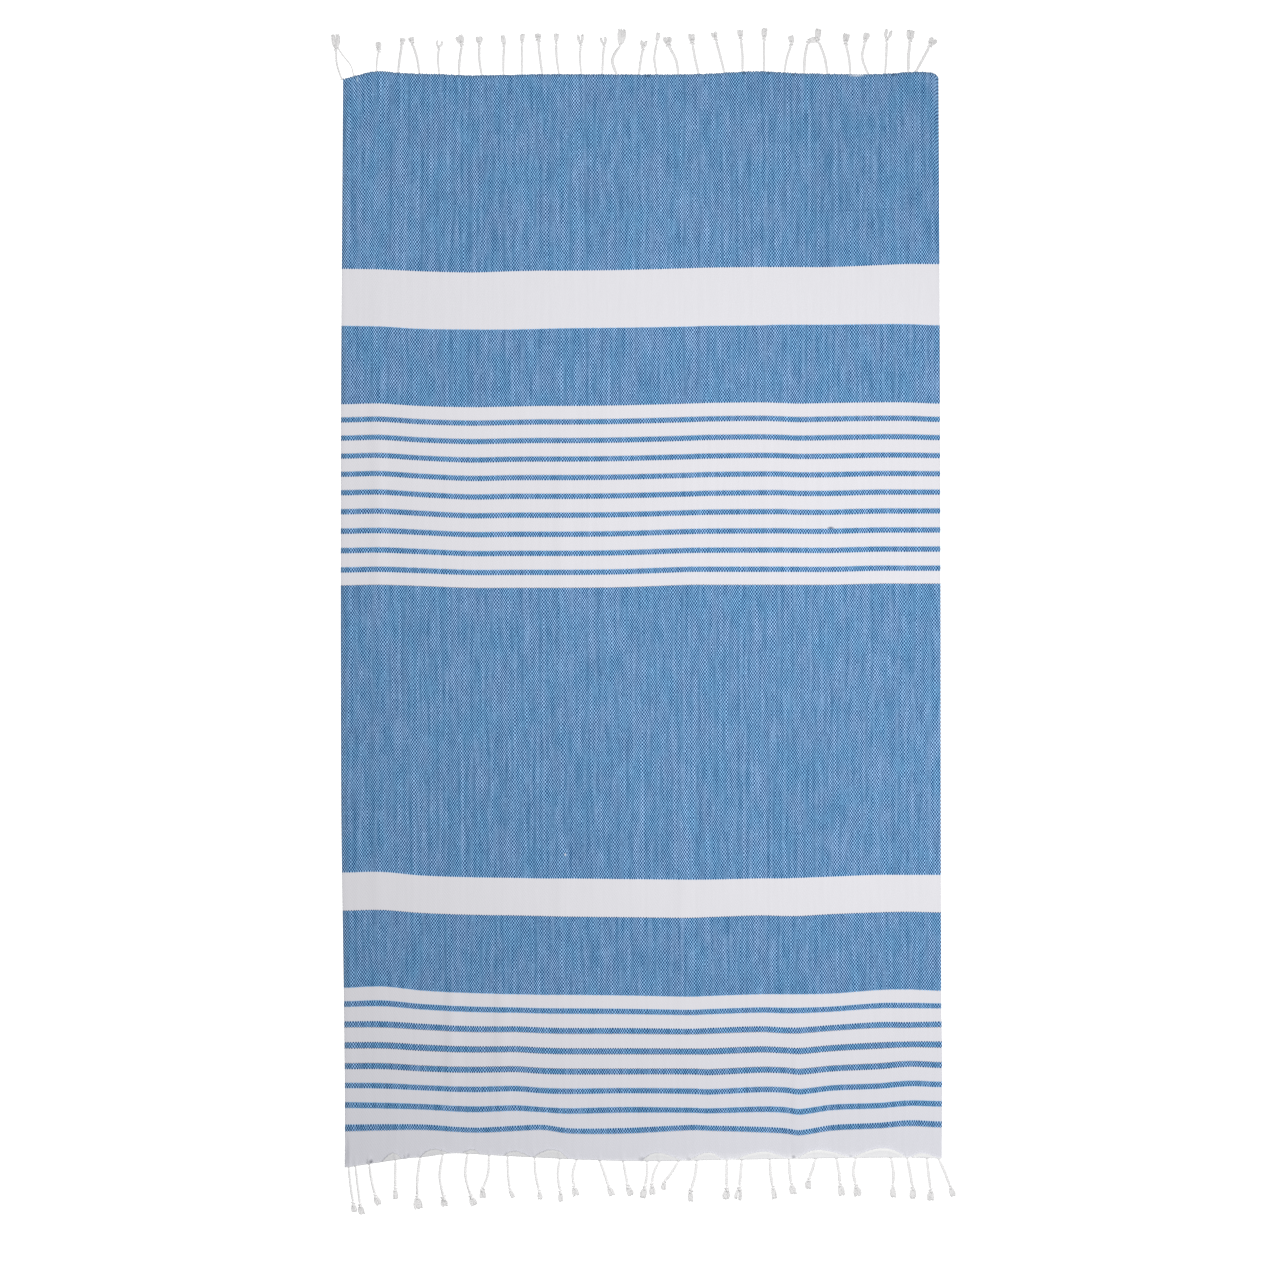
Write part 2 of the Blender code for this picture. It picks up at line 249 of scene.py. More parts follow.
FOOT_STRANDS = [Strand(*row) for row in (
    (-491, -488, -483, -482, 62, 13, 3.3, 0.9, 4.0, 0.0),
    (-480, -476, -472, -469, 66, 15, 3.3, 0.9, 4.6, 0.1),
    (-457, -453, -446, -441, 54, 15, 3.4, 0.9, 4.6, 0.1),
    (-413, -413, -413, -413, 49, 16, 3.3, 0.8, 3.8, 0.0),
    (-372, -376, -377, -374, 66, 20, 4.0, 0.8, 6.5, 0.0),
    (-334, -339, -333, -331, 73, 14, 3.8, 1.1, 5.2, 0.0),
    (-293, -296, -287, -281, 71, 14, 3.9, 1.0, 5.4, 0.0),
    (-257, -258, -267, -267, 56, 15, 3.5, 1.0, 4.6, 0.1),
    (-226, -225, -222, -216, 55, 13, 3.4, 0.7, 3.0, 0.0),
    (-181, -179, -173, -172, 55, 14, 3.4, 0.7, 3.3, 0.0),
    (-139, -142, -138, -137, 55, 16, 3.4, 0.8, 3.5, 0.0),
    (-111, -117, -115, -111, 45, 15, 3.3, 0.8, 5.2, 0.2),
    (-72, -64, -57, -51, 44, 14, 3.5, 0.8, 4.6, 0.1),
    (-33, -29, -25, -20, 41, 16, 3.4, 1.0, 4.6, 0.0),
    (7, 7, 3, -1, 43, 18, 3.4, 0.9, 4.8, 0.0),
    (27, 18, 15, 17, 39, 16, 3.2, 0.9, 4.6, 0.0),
    (59, 49, 36, 35, 35, 13, 3.4, 0.8, 3.5, 0.0),
    (90, 87, 80, 80, 50, 18, 3.9, 1.1, 3.8, 0.1),
    (140, 140, 140, 138, 48, 17, 3.9, 1.0, 5.4, 0.0),
    (165, 163, 161, 158, 47, 20, 3.9, 1.0, 5.7, 0.2),
    (212, 213, 217, 220, 46, 20, 3.9, 0.8, 4.0, 0.0),
    (244, 245, 248, 252, 42, 17, 3.7, 0.8, 5.2, 0.1),
    (288, 283, 277, 276, 34, 16, 3.8, 0.9, 4.8, 0.0),
    (323, 327, 329, 333, 43, 19, 3.8, 0.8, 5.2, 0.1),
    (355, 351, 356, 359, 46, 18, 3.8, 0.9, 5.9, 0.1),
    (414, 418, 417, 418, 47, 19, 3.9, 0.7, 4.3, 0.0),
    (441, 446, 450, 451, 50, 18, 3.9, 0.9, 4.8, 0.0),
    (474, 477, 480, 480, 53, 17, 3.8, 0.9, 5.2, 0.0),
    (494, 504, 513, 518, 46, 16, 3.7, 0.8, 4.0, 0.0),
)]
PUCKER_HALF_WIDE = 5.0
PUCKER_DEEP = 16.0
PUCKER_HIGH = 0.9


def curve_through(places, values, at):
    """Smooth curves through values at places, level past their ends, read at an array of places."""
    places = np.asarray(places, float)
    values = np.asarray(values, float)
    last = len(places) - 1
    before = np.maximum(np.arange(last + 1) - 1, 0)
    after = np.minimum(np.arange(last + 1) + 1, last)
    slopes = (values[..., after] - values[..., before]) / (places[after] - places[before])
    at = np.clip(at, places[0], places[last])
    i = np.clip(np.searchsorted(places, at, side="right") - 1, 0, last - 1)
    span = places[i + 1] - places[i]
    t = (at - places[i]) / span
    ease = t * t * (3 - 2 * t)
    level = values[..., i] * (1 - ease) + values[..., i + 1] * ease
    lean = slopes[..., i] * t * (1 - t) ** 2 - slopes[..., i + 1] * t * t * (1 - t)
    return level + span * lean


def read_outline(outline, at):
    """An outline's value at an array of places along it."""
    return curve_through([row.along for row in outline], [row.value for row in outline], at)


def hump(distance, half_wide):
    """A soft hump, 1 at its middle and 0 from half_wide outwards."""
    t = np.clip(np.abs(distance) / half_wide, 0, 1)
    return (1 - t * t) ** 2


def lift_cloth(x, y, along):
    """How high folding creases and the puckers and pinches of the two ends lift each point."""
    rise = np.zeros_like(x)
    for crease in CREASES:
        fade = hump(y - (crease.start + crease.end) / 2, (crease.end - crease.start) / 2)
        rise = np.maximum(rise, crease.high * fade * hump(x - crease.across, crease.half_wide))
    for strands, inwards in ((HEAD_STRANDS, along), (FOOT_STRANDS, CLOTH_LONG - along)):
        fade = hump(inwards, PUCKER_DEEP)[:, None]
        for strand in strands:
            rise = np.maximum(rise, PUCKER_HIGH * fade * hump(x - strand.root, PUCKER_HALF_WIDE))
    for pinches, inwards in ((HEAD_PINCHES, along), (FOOT_PINCHES, CLOTH_LONG - along)):
        for pinch in pinches:
            fade = hump(inwards, pinch.deep)[:, None]
            rise = np.maximum(rise, pinch.high * fade * hump(x - pinch.across, pinch.half_wide))
    return rise


def lay_rows(share, along):
    """Where the cloth's points lie: a row for each place along, a column for each share across."""
    x_mid = read_outline(LEFT_SELVEDGE, 0) * (1 - share) + read_outline(RIGHT_SELVEDGE, 0) * share
    lines = [read_outline(HEAD_END, x_mid)]
    for line in WOVEN_LINES:
        lines.append(STRAIGHT_HEAD - line.along - curve_through(SLIP_ACROSS, line.slips, x_mid))
    lines.append(read_outline(FOOT_END, x_mid) + FOLD_RADIUS + HALF_THICK)
    places = [0.0] + [line.along for line in WOVEN_LINES] + [CLOTH_LONG]
    y = curve_through(places, np.array(lines).T, along).T
    left = read_outline(LEFT_SELVEDGE, y)
    right = read_outline(RIGHT_SELVEDGE, y)
    x = left + (right - left) * share
    return np.stack([x, y, lift_cloth(x, y, along) + HALF_THICK], -1)


def flip_hem(last_row, dice):
    """Rows on from the cloth's last one, round the fold and back over the cloth along each lip,
    and how far along the cloth each of their points is, if every lip were as deep as can be."""
    x, y, z = last_row.T
    lip = np.zeros_like(x)
    for row in FOOT_LIPS:
        middle = (row.start + row.end) / 2
        half = (row.end - row.start) / 2
        t = np.clip((x - middle) / half, -1, 1)
        lip = np.maximum(lip, row.deep * (1 - t * t) * (1 + row.skew * t))
    fray = np.array([dice.uniform(-EDGE_JITTER, EDGE_JITTER) for _ in x])
    long = HEM_ROLL + lip + fray * np.clip(lip / LIP_FRAYED, 0, 1)
    turn = np.minimum(FOLD_RADIUS * pi, long / 2)
    rows = []
    past = []
    for step in range(1, FOLD_ROWS + LIP_ROWS + 1):
        if step <= FOLD_ROWS:
            gone = turn * step / FOLD_ROWS
        else:
            gone = turn + (long - turn) * (step - FOLD_ROWS) / LIP_ROWS
        angle = np.minimum(gone / FOLD_RADIUS, pi)
        back = np.maximum(gone - FOLD_RADIUS * pi, 0)
        lift = LIP_LIFT * (back / long) ** 2
        y_now = y - FOLD_RADIUS * np.sin(angle) + back
        z_now = z + FOLD_RADIUS * (1 - np.cos(angle)) + lift
        rows.append(np.stack([x, y_now, z_now], -1))
        past.append(LIP_DEEPEST - (long - gone))
    return np.array(rows), np.array(past)


def roughen_edge(rows, dice):
    """The head end's outermost rows, toothed and frayed a little where its weft stops."""
    teeth = EDGE_TOOTH * np.cos(2 * pi * rows[0, :, 0] / DIAMOND_WIDE)
    fray = np.array([dice.uniform(-EDGE_JITTER, EDGE_JITTER) for _ in rows[0]])
    for row, share in zip(rows, EDGE_SHARES):
        row[:, 1] += share * (EDGE_OUT + teeth + fray)


def offsets(grid, thin_sides):
    """How far each point of a grid's middle surface is from the cloth's face, and which way."""
    across = np.gradient(grid, axis=1)
    down = np.gradient(grid, axis=0)
    way = np.cross(down, across)
    way /= np.linalg.norm(way, axis=-1, keepdims=True)
    thick = np.full(grid.shape[:2], HALF_THICK)
    for side in thin_sides:
        thick[side] *= SELVEDGE_THIN
    return way * thick[..., None]


def strip_faces(upper, lower):
    """Faces between two rows of points, where either row may be split HEM_SPLIT times finer."""
    count = min(len(upper), len(lower)) - 1
    top_split = (len(upper) - 1) // count
    low_split = (len(lower) - 1) // count
    faces = []
    for i in range(count):
        top = upper[i * top_split:(i + 1) * top_split + 1]
        low = lower[i * low_split:(i + 1) * low_split + 1]
        faces.append(top[::-1] + low)
    return faces


def new_piece(name, points, faces, material):
    """A smooth mesh object in the scene, from points in millimetres."""
    mesh = bpy.data.meshes.new(name)
    mesh.from_pydata((np.asarray(points) * MM).tolist(), [], faces)
    mesh.shade_smooth()
    mesh.materials.append(material)
    piece = bpy.data.objects.new(name, mesh)
    bpy.context.scene.collection.objects.link(piece)
    return piece


def weave_cloth(material):
    """The whole cloth as one closed mesh, coarse in its body and fine in its hems."""
    middles = np.arange(COLUMN_PITCH, CLOTH_WIDE - 1, COLUMN_PITCH)
    coarse = np.concatenate([[0, 1], middles, [CLOTH_WIDE - 1, CLOTH_WIDE]]) / CLOTH_WIDE
    fine_places = np.arange((len(coarse) - 1) * HEM_SPLIT + 1) / HEM_SPLIT
    fine = np.interp(fine_places, np.arange(len(coarse)), coarse)
    head_along = np.array(HEAD_HEM_ROWS)
    foot_along = CLOTH_LONG - np.array(FOOT_HEM_ROWS)
    body_count = round((CLOTH_LONG - 2 * HEM_DEEP) / ROW_PITCH)
    body_along = np.linspace(HEM_DEEP, CLOTH_LONG - HEM_DEEP, body_count + 1)[1:-1]

    head = lay_rows(fine, head_along)
    roughen_edge(head, Random(EDGE_SEED))
    body = lay_rows(coarse, body_along)
    foot = lay_rows(fine, foot_along)
    flipped, past = flip_hem(foot[-1], Random(LIP_SEED))
    foot = np.concatenate([foot, flipped])
    sides = [np.s_[:, 0], np.s_[:, -1]]
    head_own = head_along[:, None] + 0 * fine
    body_own = body_along[:, None] + 0 * coarse
    foot_own = np.concatenate([foot_along[:, None] + 0 * fine, CLOTH_LONG + past])
    rows = []
    for grid, share, along_rows, thin in (
        (head, fine, head_own, sides + [np.s_[0]]),
        (body, coarse, body_own, sides),
        (foot, fine, foot_own, sides + [np.s_[-1]]),
    ):
        # Each point also keeps its own place in the flat weave, which the material reads.
        for middle, offset, along_row in zip(grid, offsets(grid, thin), along_rows):
            own = np.stack([share * CLOTH_WIDE, along_row], -1)
            rows.append((middle + offset, middle - offset, own))

    count = sum(len(row[0]) for row in rows)
    faces = []
    index = []
    start = 0
    for row in rows:
        index.append(list(range(start, start + len(row[0]))))
        start += len(row[0])
    for upper, lower in zip(index, index[1:]):
        for face in strip_faces(upper, lower):
            faces.append(face)
            faces.append([i + count for i in face[::-1]])
        faces.append([upper[0], upper[0] + count, lower[0] + count, lower[0]])
        faces.append([upper[-1], lower[-1], lower[-1] + count, upper[-1] + count])
    for edge in (index[0], index[-1][::-1]):
        for a, b in zip(edge, edge[1:]):
            faces.append([a, b, b + count, a + count])
    points = np.concatenate([row[0] for row in rows] + [row[1] for row in rows])
    piece = new_piece("woven_cloth", points, faces, material)

    own_places = np.concatenate([row[2] for row in rows] * 2) * MM
    corners = np.empty(len(piece.data.loops), int)
    piece.data.loops.foreach_get("vertex_index", corners)
    weave_map = piece.data.uv_layers.new(name="weave")
    weave_map.uv.foreach_set("vector", own_places[corners].astype(np.float32).ravel())
    return piece


def linear(hex_colour):
    """An sRGB hex colour as linear red, green, blue and alpha."""
    parts = [int(hex_colour[i:i + 2], 16) / 255 for i in (1, 3, 5)]
    return [p / 12.92 if p <= 0.04045 else ((p + 0.055) / 1.055) ** 2.4 for p in parts] + [1.0]


def add_node(tree, kind, *inputs, out=0, **settings):
    """Add a node, set it, fill its live inputs in turn with values or outputs, and return an output."""
    node = tree.nodes.new("ShaderNode" + kind)
    for name, value in settings.items():
        setattr(node, name, value)
    sockets = [socket for socket in node.inputs if socket.enabled]
    for socket, value in zip(sockets, inputs):
        if isinstance(value, bpy.types.NodeSocket):
            tree.links.new(value, socket)
        elif value is not None:
            socket.default_value = value
    return [socket for socket in node.outputs if socket.enabled][out]


# The material: ring-spun cotton, reactive-dyed and woven in a small diamond twill. Cotton has an IOR
# near 1.53 and its fibres scatter all ways, so the eye gets a matt blue broken by undyed warp, with a
# faint pale sheen at grazing angles. One diamond is a few threads each way, 4.1 by 6.25 mm: the single
# threads, about 0.5 mm, are too fine to show.
COTTON_IOR = 1.53
COTTON_ROUGH = 0.85
COTTON_GLOSS = 0.08
COTTON_SHEEN = 0.1
COTTON_SHEEN_ROUGH = 0.5
WEAVE_BUMP = 0.4
WEAVE_HIGH = 0.2
BLUE_DARK = "#00386C"
PALE_TEAL = "#88C1EC"
PALE_MAUVE = "#9BC4EE"
UNDYED = "#DAD9DE"
UNDYED_FOOT = "#DADAE1"
FOOT_SHIFT = (1500.0, 1750.0)

# Where the blue weft lies, in millimetres along the cloth: broad fields and groups of thin stripes.
BLUE_FIELDS = ((-20.0, 326.0), (424.0, 551.0), (853.5, 1339.0), (1402.5, 1534.5))
StripeGroup = namedtuple("StripeGroup", "first pitch count wide")
STRIPE_GROUPS = (StripeGroup(573.0, 31.3, 9, 9.0), StripeGroup(1556.3, 32.4, 7, 9.6))
TOOTH_DEEP = 0.7

# What is uneven in the weave: how wide and how long its patches are in millimetres, which layer of
# the noise they are cut from, and how much finer detail they have.
Patches = namedtuple("Patches", "wide long layer detail")
PATCHES = {
    "ends": Patches(9, 110, 3, 1.0),
    "fuzz": Patches(2.2, 3, 31, 0.0),
    "picks": Patches(28, 32, 7, 2.0),
    "lean": Patches(10, 25, 11, 1.0),
    "crisp": Patches(13, 22, 29, 1.0),
    "column": Patches(6, 500, 37, 0.0),
    "tint": Patches(36, 70, 23, 1.0),
}
STREAK = Patches(5, 60, 17, 2.0)
NOISE_RANGE = (0.3, 0.7)

# How far the ends and picks stray in millimetres, and how strong each kind of unevenness is.
END_DRIFT = 2.2
END_FUZZ = 0.7
PICK_WAVER = 1.0
CROWD_PITCH = 27.2
CROWD_SHIFT = 0.42
CROWD_CRISP = 0.55
LEAN_RANGE = (0.45, 0.55)
COLUMN_CRISP = 0.3
CRISP_SPREAD = 0.16
DIAMOND_SOFT = 0.6
DIAMOND_CRISP = 4.1
WARP_SPARSE = 0.08
FLOAT_DULLEST = 0.9
FLOAT_SPREAD = 0.2
COLUMN_STREAK = 0.5
STREAK_BLUE = 1.0
STREAK_MAUVE = 1.5
STREAK_WHITE = 0.05

# The dulled first picks and left selvedge, and the colours of the lips from their roll to their raw
# edge: the cloth's other side, a painted highlight along the rolled rim, and a painted shadow along
# the raw edge that turns to painted highlight towards the right. For each lip colour, how far along
# it starts, and its colour at the cloth's left and at its right.
EDGE_DULL = 0.3
EDGE_BLUE = "#5A6670"
HEAD_DULLED = (1.0, 5.0)
LEFT_DULLED = (1.0, 12.0)
RAW_EDGE = CLOTH_LONG + LIP_DEEPEST
LIP_SIDE_AND_PAINTED_LIGHT = (
    (CLOTH_LONG + 0.5, "#E2E2E4", "#EAEAEC"),
    (RAW_EDGE - 4.5, "#E8E8E9", "#F4F4F4"),
    (RAW_EDGE - 1.4, "#CFCFD3", "#F0F0F0"),
)
LIP_SHIFT = (450.0, 650.0)

# Slubs, flecks of bare warp, a thick pick, a paler stretch along the middle and right of the foot
# hem, and painted shadows in the tightest pinches of both ends and down the curled left corner of
# the foot. Each is strongest in its core and fades out from there.
Mark = namedtuple("Mark", "across along half_wide half_long much colour")
SLUBS_AND_PAINTED_SHADE = [Mark(*row) for row in (
    (862, 1, 17, 3.0, 0.6, "#E0E4EA"),
    (24, 6, 2, 6, 0.5, "#C8DCEA"),
    (373, 1299, 2, 3, 0.9, "#DAD9DE"),
    (817, 760, 7, 3.0, 0.8, "#1E4468"),
    (880, 231, 130, 1.6, 0.25, "#003B6C"),
    # Painted shadows in the head end's tightest pinches.
    (512, 2, 5, 3, 0.7, "#24405E"),
    (673, 2, 4, 3, 0.6, "#24405E"),
    (715, 2, 4, 3, 0.6, "#24405E"),
    (757, 2, 4, 3, 0.6, "#24405E"),
    (924, 2, 5, 3, 0.7, "#24405E"),
    # A paler stretch along the middle and right of the foot hem.
    (720, 1812, 330, 16, 0.55, "#F0F0F2"),
    # Painted shade down the foot's curled left corner, then painted shadows in its tightest pinches.
    (5, 1792, 4, 30, 0.35, "#8A8A92"),
    (44, 1807, 4.5, 6, 0.75, "#62626C"),
    (106, 1806, 4, 7, 0.4, "#82828A"),
    (498, 1806, 4, 6, 0.45, "#82828A"),
    (577, 1807, 3, 4, 0.3, "#82828A"),
    (752, 1806, 4, 6, 0.5, "#74747E"),
    (848, 1807, 3, 4, 0.25, "#82828A"),
)]
MARK_CORE = 0.2

woven_cotton = bpy.data.materials.new("woven_cotton")
woven_cotton.use_nodes = True
tree = woven_cotton.node_tree
shader = tree.nodes["Principled BSDF"]
shader.inputs["IOR"].default_value = COTTON_IOR
shader.inputs["Roughness"].default_value = COTTON_ROUGH
shader.inputs["Specular IOR Level"].default_value = COTTON_GLOSS
shader.inputs["Sheen Weight"].default_value = COTTON_SHEEN
shader.inputs["Sheen Roughness"].default_value = COTTON_SHEEN_ROUGH

in_metres = add_node(tree, "UVMap", uv_map="weave")
place = add_node(tree, "VectorMath", in_metres, 1 / MM, operation="SCALE")
across = add_node(tree, "SeparateXYZ", place, out=0)
along = add_node(tree, "SeparateXYZ", place, out=1)
uneven = {}
for name, patches in PATCHES.items():
    scale = (1 / patches.wide, 1 / patches.long, 0)
    spot = add_node(tree, "VectorMath", place, scale, (0, 0, patches.layer), operation="MULTIPLY_ADD")
    uneven[name] = add_node(tree, "TexNoise", spot, 1.0, patches.detail)

# Warp ends are never quite evenly spaced, as the reed crowds some together, nor picks quite straight,
# so the diamonds drift, and here and there they lean into a short run of twill.
ends = add_node(tree, "Math", uneven["ends"], END_DRIFT, across, operation="MULTIPLY_ADD")
ends = add_node(tree, "Math", uneven["fuzz"], END_FUZZ, ends, operation="MULTIPLY_ADD")
crowd_turn = add_node(tree, "Math", across, 2 * pi / CROWD_PITCH, operation="MULTIPLY")
crowd = add_node(tree, "Math", crowd_turn, operation="SINE")
ends = add_node(tree, "Math", crowd, CROWD_SHIFT, ends, operation="MULTIPLY_ADD")
picks = add_node(tree, "Math", uneven["picks"], PICK_WAVER, along, operation="MULTIPLY_ADD")
ends_turn = add_node(tree, "Math", ends, 2 * pi / DIAMOND_WIDE, operation="MULTIPLY")
picks_turn = add_node(tree, "Math", picks, 2 * pi / DIAMOND_LONG, operation="MULTIPLY")
rising_turn = add_node(tree, "Math", ends_turn, picks_turn, operation="ADD")
falling_turn = add_node(tree, "Math", ends_turn, picks_turn, operation="SUBTRACT")
rising = add_node(tree, "Math", rising_turn, operation="COSINE")
falling = add_node(tree, "Math", falling_turn, operation="COSINE")
lean = add_node(tree, "MapRange", uneven["lean"], *NOISE_RANGE, *LEAN_RANGE)
diamonds = add_node(tree, "Mix", lean, rising, falling, data_type="FLOAT")

# The diamonds are crisper in some patches and columns than in others, and where the reed is open.
crisp = add_node(
    tree, "Math", uneven["column"], COLUMN_CRISP, uneven["crisp"], operation="MULTIPLY_ADD"
)
middle = (1 + COLUMN_CRISP) / 2
softest = middle - CRISP_SPREAD
crispest = middle + CRISP_SPREAD
crisp = add_node(tree, "MapRange", crisp, softest, crispest, DIAMOND_SOFT, DIAMOND_CRISP)
open_reed = add_node(tree, "Math", crowd_turn, operation="COSINE")
open_reed = add_node(tree, "Math", open_reed, CROWD_CRISP, 1.0, operation="MULTIPLY_ADD")
crisp = add_node(tree, "Math", crisp, open_reed, operation="MULTIPLY")

# No two floats of yarn, one to each half diamond, catch the light quite alike.
crossing = add_node(tree, "CombineXYZ", ends, picks, 0.0)
half_diamond = (DIAMOND_WIDE / 2, DIAMOND_LONG / 2, 1.0)
quarter_diamond = (DIAMOND_WIDE / 4, DIAMOND_LONG / 4, 0.5)
crossing = add_node(tree, "VectorMath", crossing, quarter_diamond, operation="ADD")
crossing = add_node(tree, "VectorMath", crossing, half_diamond, operation="SNAP")
float_light = add_node(tree, "TexWhiteNoise", crossing, noise_dimensions="3D")
float_light = add_node(
    tree, "Math", float_light, FLOAT_SPREAD, FLOAT_DULLEST, operation="MULTIPLY_ADD"
)

# The blue weft: its fields and its thin stripes, with edges toothed by the warp that crosses them.
tooth = add_node(tree, "Math", ends_turn, operation="COSINE")
edge = add_node(tree, "Math", tooth, TOOTH_DEEP, along, operation="MULTIPLY_ADD")
dyed = 0.0
for start, end in BLUE_FIELDS:
    field = add_node(tree, "Math", edge, (start + end) / 2, (end - start) / 2, operation="COMPARE")
    dyed = add_node(tree, "Math", dyed, field, operation="ADD")
for group in STRIPE_GROUPS:
    first_step = -group.first / group.pitch
    steps = add_node(tree, "Math", edge, 1 / group.pitch, first_step, operation="MULTIPLY_ADD")
    half = group.count / 2
    inside = add_node(tree, "Math", steps, half, half, operation="COMPARE")
    step_share = add_node(tree, "Math", steps, operation="FRACT")
    stripe = add_node(tree, "Math", step_share, group.wide / group.pitch, operation="LESS_THAN")
    dyed = add_node(tree, "Math", inside, stripe, dyed, operation="MULTIPLY_ADD")

# Uneven yarn and uneven dye leave streaks that follow single warp ends. The paler ones lean to mauve.
one_end = add_node(tree, "Math", ends, DIAMOND_WIDE / 2, operation="SNAP")
one_end = add_node(tree, "CombineXYZ", one_end, along, 0.0)
scale = (1 / STREAK.wide, 1 / STREAK.long, 0)
spot = add_node(tree, "VectorMath", one_end, scale, (0, 0, STREAK.layer), operation="MULTIPLY_ADD")
streak = add_node(tree, "TexNoise", spot, 1.0, STREAK.detail)
streak = add_node(tree, "Math", uneven["column"], COLUMN_STREAK, streak, operation="MULTIPLY_ADD")
streak = add_node(tree, "Math", streak, (1 + COLUMN_STREAK) / 2, operation="SUBTRACT")
tint = add_node(tree, "MapRange", uneven["tint"], *NOISE_RANGE, 0.0, 1.0)
tint = add_node(tree, "Math", streak, STREAK_MAUVE, tint, operation="MULTIPLY_ADD", use_clamp=True)

# The pale warp shows between the blue picks as the diamonds let it.
sparse = add_node(tree, "Math", diamonds, WARP_SPARSE, operation="SUBTRACT")
show = add_node(tree, "Math", sparse, crisp, 0.5, operation="MULTIPLY_ADD", use_clamp=True)
show = add_node(tree, "Math", show, float_light, operation="MULTIPLY")
streak_light = add_node(tree, "Math", streak, STREAK_BLUE, 1.0, operation="MULTIPLY_ADD")
pale = add_node(tree, "Math", show, streak_light, operation="MULTIPLY")
pale_blue = add_node(tree, "Mix", tint, linear(PALE_TEAL), linear(PALE_MAUVE), data_type="RGBA")
blue = add_node(tree, "Mix", pale, linear(BLUE_DARK), pale_blue, data_type="RGBA", clamp_factor=False)
near_foot = add_node(tree, "MapRange", along, *FOOT_SHIFT, 0.0, 1.0)
white = add_node(tree, "Mix", near_foot, linear(UNDYED), linear(UNDYED_FOOT), data_type="RGBA")
white_level = add_node(tree, "Math", streak, STREAK_WHITE, 1.0, operation="MULTIPLY_ADD")
white = add_node(tree, "VectorMath", white, white_level, operation="SCALE")
colour = add_node(tree, "Mix", dyed, white, blue, data_type="RGBA")

# The head end's first picks and the left selvedge are duller. Each lip shows the cloth's other side,
# which has less of a cast, then a painted highlight along its rolled rim and a painted shadow along
# its raw edge that turns to painted highlight towards the right.
near_head = add_node(tree, "MapRange", along, *HEAD_DULLED, EDGE_DULL, 0.0)
near_left = add_node(tree, "MapRange", across, *LEFT_DULLED, EDGE_DULL, 0.0)
near_edge = add_node(tree, "Math", near_head, near_left, operation="MAXIMUM")
near_edge = add_node(tree, "Math", near_edge, dyed, operation="MULTIPLY")
colour = add_node(tree, "Mix", near_edge, colour, linear(EDGE_BLUE), data_type="RGBA")
to_right = add_node(tree, "MapRange", across, *LIP_SHIFT, 0.0, 1.0)
# Painted highlight and painted shadow along each lip, over the colour of its other side.
for start, left_shade, right_shade in LIP_SIDE_AND_PAINTED_LIGHT:
    past = add_node(tree, "Math", along, start, operation="GREATER_THAN")
    shade = add_node(
        tree, "Mix", to_right, linear(left_shade), linear(right_shade), data_type="RGBA"
    )
    colour = add_node(tree, "Mix", past, colour, shade, data_type="RGBA")
# The slubs and flecks, and the painted shadows of the pinches and of the foot's left corner, each mixed
# over the colour.
for mark in SLUBS_AND_PAINTED_SHADE:
    scale = (1 / mark.half_wide, 1 / mark.half_long, 0)
    centre = (-mark.across / mark.half_wide, -mark.along / mark.half_long, 0)
    spot = add_node(tree, "VectorMath", place, scale, centre, operation="MULTIPLY_ADD")
    far = add_node(tree, "VectorMath", spot, operation="LENGTH")
    much = add_node(tree, "MapRange", far, MARK_CORE, 1.0, mark.much, 0.0)
    colour = add_node(tree, "Mix", much, colour, linear(mark.colour), data_type="RGBA")
tree.links.new(colour, shader.inputs["Base Color"])
relief = add_node(tree, "Bump", WEAVE_BUMP, WEAVE_HIGH * MM, None, diamonds)
tree.links.new(relief, shader.inputs["Normal"])

cloth = weave_cloth(woven_cotton)
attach(cloth, "root")
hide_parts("cloth")

# ---------------------------------------------------------------------------------- the head fringe
# The warp left long past the last pick: yarns gathered into bundles, each two-ply twisted, tied in
# an overhand knot and left to fray. Undyed cotton, so the cords are a matt light grey against white.

# Sizes are in millimetres, and the rest are shares of a size, counts or turns.
ROOT_SHARE = 0.65
ROOT_NARROW = 0.45
ROOT_LONG = 7.0
ROOT_BACK = 0.5
ROOT_YARNS = 5
ROOT_POINTS = 6
ROOT_FAN = 2.2
ROOT_YARN_HALF = (0.55, 0.35)
CORD_STEP = 1.0
CORD_LIFT = 0.1
PLY_LEAD = 7.5
PLY_OFFSET = 0.16
PLY_RADIUS = 0.85
PLY_SIDES = 8
KNOT_RADIUS = 3.1
KNOT_CORD = 1.9
KNOT_TURNS = 1.3
KNOT_HALF_LONG = 2.8
KNOT_RUN = 6.0
KNOT_FLAT = 0.75
KNOT_RISE = 12.0
KNOT_TIGHTENS = 4
KNOT_STEPS = 9
KNOT_POINTS = 42
TAIL_BACK = 2.0
TAIL_SHORTEST = 0.82
TAIL_PARTED = 0.3
TAIL_HIGH = (0.8, 1.6)
TAIL_SWAY = 0.6
YARNS = 18
YARN_HALF_WIDE = 1.0
YARN_TAPER = (1, 1, 1, 1, 1, 0.95, 0.8, 0.45)
YARN_SIDES = 4
YARN_FLAT = 0.7
YARN_CLEAR = 0.05
STRAND_SEED = 29


def square_ways(path):
    """Two directions square to each point of a path, which turn no more than the path does."""
    ahead = np.gradient(path, axis=0)
    ahead /= np.linalg.norm(ahead, axis=-1, keepdims=True)
    up = np.array([0.0, 0.0, 1.0])
    ups = []
    for way in ahead:
        up = up - way * np.dot(up, way)
        up /= np.linalg.norm(up)
        ups.append(up)
    ups = np.array(ups)
    return np.cross(ahead, ups), ups


